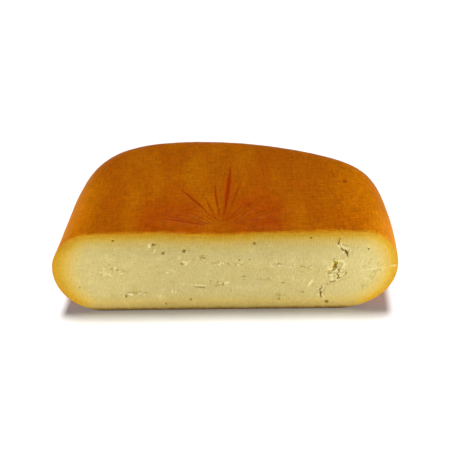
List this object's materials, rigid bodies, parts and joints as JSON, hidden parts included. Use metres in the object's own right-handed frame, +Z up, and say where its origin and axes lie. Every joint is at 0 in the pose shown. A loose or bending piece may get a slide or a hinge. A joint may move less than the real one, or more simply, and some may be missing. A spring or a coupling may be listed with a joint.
{
  "type": "half mahon cheese",
  "caption": "Half of a rounded square, cloth-pressed cheese, cut straight down, with an oiled orange rind, a star of folds on top and a crumbly cream paste.",
  "frame": {"origin": "on the flat base, below the middle of the bounding box", "axes": "+X along the cut face, to the right of someone who faces the cut; +Y from the cut face to the back; +Z up"},
  "size_m": [0.2026, 0.12, 0.0596],
  "materials": {
    "rind": "oiled orange-brown rind with a satin sheen; the cut face is matt cream-yellow paste"
  },
  "bodies": {
    "root": {"half_cheese": "rind"}
  },
  "joints": []
}
